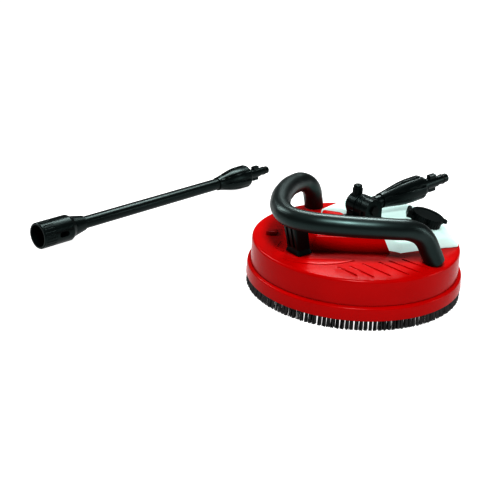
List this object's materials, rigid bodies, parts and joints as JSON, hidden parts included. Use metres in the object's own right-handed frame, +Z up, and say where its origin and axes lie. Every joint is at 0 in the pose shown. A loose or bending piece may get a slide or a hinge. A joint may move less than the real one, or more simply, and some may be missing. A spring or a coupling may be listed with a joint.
{
  "type": "pressure washer surface cleaner",
  "caption": "Round surface cleaner head with bristle skirt, spinning spray bar, detergent tank, bow handle, tilting arm and a loose extension lance.",
  "frame": {"origin": "centre of the round hood on the floor that the bristle tips touch", "axes": "+Z up, +Y from the hood's centre along the tilting arm towards the user, +X to the user's right as seen from the front"},
  "size_m": [0.5428, 0.4654, 0.134],
  "materials": {
    "red_shell": "glossy moulded plastic",
    "white_tank": "satin moulded plastic, faintly translucent",
    "black_plastic": "fine-grained satin moulded plastic",
    "black_bristle": "stiff nylon bristle",
    "black_rubber": "matt rubber",
    "steel": "zinc-plated or stainless steel",
    "brass": "turned brass",
    "grey_plastic": "plain moulded plastic"
  },
  "bodies": {
    "base": {"base_screws": "steel", "bearing_lower": "steel", "bearing_upper": "steel", "bristle_ring": "black_bristle", "brush_carrier": "black_plastic", "button_spring": "steel", "carrier_screws": "steel", "circlip": "steel", "deck_cover": "red_shell", "detergent_tank": "white_tank", "feed_hose": "black_rubber", "filler_collar": "black_plastic", "handle": "black_plastic", "handle_pedestal": "black_plastic", "handle_screws": "steel", "hood": "red_shell", "hose_clips": "steel", "lid_pin": "steel", "pivot_bolt": "steel", "pivot_nut": "steel", "pivot_washers": "grey_plastic", "shaft_seal": "black_rubber", "suction_hose": "black_rubber", "swivel_base": "black_plastic", "tank_outlet": "grey_plastic", "tank_screws": "steel", "union_body": "grey_plastic", "union_screws": "steel"},
    "arm": {"arm_neck": "black_plastic", "arm_grip": "black_plastic", "grip_collar": "black_plastic", "arm_nipple": "black_plastic", "arm_o_ring": "black_rubber"},
    "lid": {"filler_lid": "black_plastic", "lid_seal": "black_rubber"},
    "button": {"lock_button": "black_plastic"},
    "rotor": {"rotor_shaft": "steel", "rotor_hub": "brass", "hub_nut": "steel", "spray_tubes": "steel", "nozzle_holders": "brass", "nozzles": "brass"},
    "lance": {"lance_tube": "black_plastic", "lance_socket": "black_plastic", "socket_seal": "black_rubber", "lance_grip": "black_plastic", "lance_collar": "black_plastic", "lance_nipple": "black_plastic", "lance_o_ring": "black_rubber"}
  },
  "joints": [
    {"name": "arm_tilt", "type": "hinge", "parent": "base", "child": "arm", "pos_m": [0.001, 0.009, 0.1075], "axis": [1, 0, 0], "range_deg": [-3, 60]},
    {"name": "lid_open", "type": "hinge", "parent": "base", "child": "lid", "pos_m": [0.04582, 0.04879, 0.10939], "axis": [0.7289, -0.6846, 0], "range_deg": [0, 110]},
    {"name": "button_press", "type": "slide", "parent": "base", "child": "button", "axis": [0, 0, -1], "range_m": [0, 0.003], "stiffness_N_per_m": 600, "springref_m": -0.003, "deforming": ["button_spring"]},
    {"name": "rotor_spin", "type": "hinge", "parent": "base", "child": "rotor", "pos_m": [0, 0, 0.035], "axis": [0, 0, 1], "continuous": true},
    {"name": "lance_lift", "type": "slide", "parent": "base", "child": "lance", "axis": [0, 0, 1], "range_m": [0, 0.3]}
  ]
}
